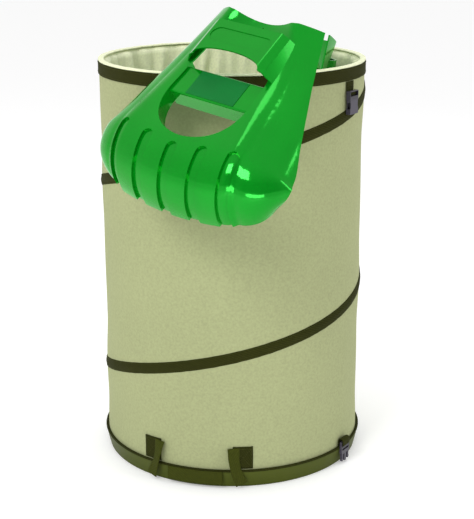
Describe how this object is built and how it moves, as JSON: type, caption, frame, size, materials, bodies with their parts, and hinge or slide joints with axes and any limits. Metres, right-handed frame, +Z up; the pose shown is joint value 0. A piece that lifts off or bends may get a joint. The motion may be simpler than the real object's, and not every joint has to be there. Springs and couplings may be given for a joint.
{
  "type": "collapsible garden bag with leaf scoops",
  "caption": "Pop-up spiral-sprung garden leaf bag with a hard base tray, webbing handle and buckles, and two moulded hand scoops with claw-shaped tines.",
  "frame": {"origin": "centre of the round base tray, on the floor", "axes": "+Z up along the bag, -Y towards the side with the tipping handle, +X to the right seen from there"},
  "size_m": [0.4657, 0.7103, 0.8028],
  "materials": {
    "tray": "satin",
    "webbing": "woven",
    "fabric": "woven, matt",
    "liner": "coated, matt",
    "steel": "drawn wire",
    "buckle": "satin",
    "scoop": "high gloss",
    "panel": "matt"
  },
  "bodies": {
    "base": {"base_tray": "tray", "base_ledge": "webbing", "floor_panel": "liner", "wall_fabric": "fabric", "inner_liner": "liner", "base_ring": "steel", "spiral_spring": "steel", "spiral_tape": "webbing", "spring_crimp_low": "steel", "bottom_strap_front": "webbing", "bottom_strap_rear": "webbing", "handle_tab_left": "webbing", "handle_tab_right": "webbing"},
    "rim": {"rim_binding": "webbing", "rim_piping": "liner", "rim_ring": "steel", "spring_crimp_top": "steel"},
    "handle": {"handle_loop": "webbing"},
    "strap_front": {"top_strap_front": "webbing"},
    "socket_front": {"female_buckle_front": "buckle"},
    "plug_front": {"male_buckle_front": "buckle"},
    "scoop_body_front": {"scoop_front": "scoop", "grip_panel_front": "panel"},
    "strap_rear": {"top_strap_rear": "webbing"},
    "socket_rear": {"female_buckle_rear": "buckle"},
    "plug_rear": {"male_buckle_rear": "buckle"},
    "scoop_body_rear": {"scoop_rear": "scoop", "grip_panel_rear": "panel"}
  },
  "joints": [
    {"name": "collapse", "type": "slide", "parent": "base", "child": "rim", "axis": [0, 0, -1], "range_m": [0, 0.56], "stiffness_N_per_m": 60, "springref_m": -0.25, "deforming": ["wall_fabric", "inner_liner", "spiral_spring", "spiral_tape"]},
    {"name": "top_strap_front_swing", "type": "hinge", "parent": "rim", "child": "strap_front", "pos_m": [0.19287, -0.12382, 0.6742], "axis": [-0.5402, -0.8415, 0], "range_deg": [0, 120]},
    {"name": "socket_front_swing", "type": "hinge", "parent": "strap_front", "child": "socket_front", "pos_m": [0.19502, -0.1252, 0.655], "axis": [-0.5402, -0.8415, 0], "range_deg": [0, 35]},
    {"name": "plug_front_swing", "type": "hinge", "parent": "base", "child": "plug_front", "pos_m": [0.19876, -0.1276, 0.036], "axis": [-0.5402, -0.8415, 0], "range_deg": [0, 85]},
    {"name": "top_strap_rear_swing", "type": "hinge", "parent": "rim", "child": "strap_rear", "pos_m": [-0.19287, 0.12382, 0.6742], "axis": [0.5402, 0.8415, 0], "range_deg": [0, 120]},
    {"name": "socket_rear_swing", "type": "hinge", "parent": "strap_rear", "child": "socket_rear", "pos_m": [-0.19502, 0.1252, 0.655], "axis": [0.5402, 0.8415, 0], "range_deg": [0, 35]},
    {"name": "plug_rear_swing", "type": "hinge", "parent": "base", "child": "plug_rear", "pos_m": [-0.19876, 0.1276, 0.036], "axis": [0.5402, 0.8415, 0], "range_deg": [0, 85]},
    {"name": "handle_swing", "type": "hinge", "parent": "base", "child": "handle", "pos_m": [-0.06312, -0.22013, 0.0315], "axis": [-0.9613, 0.2756, 0], "range_deg": [0, 95]},
    {"name": "scoop_front_lift", "type": "slide", "parent": "base", "child": "scoop_body_front", "axis": [0, 0, 1], "range_m": [0, 0.45]},
    {"name": "scoop_rear_lift", "type": "slide", "parent": "base", "child": "scoop_body_rear", "axis": [0, 0, 1], "range_m": [0, 0.45]}
  ]
}
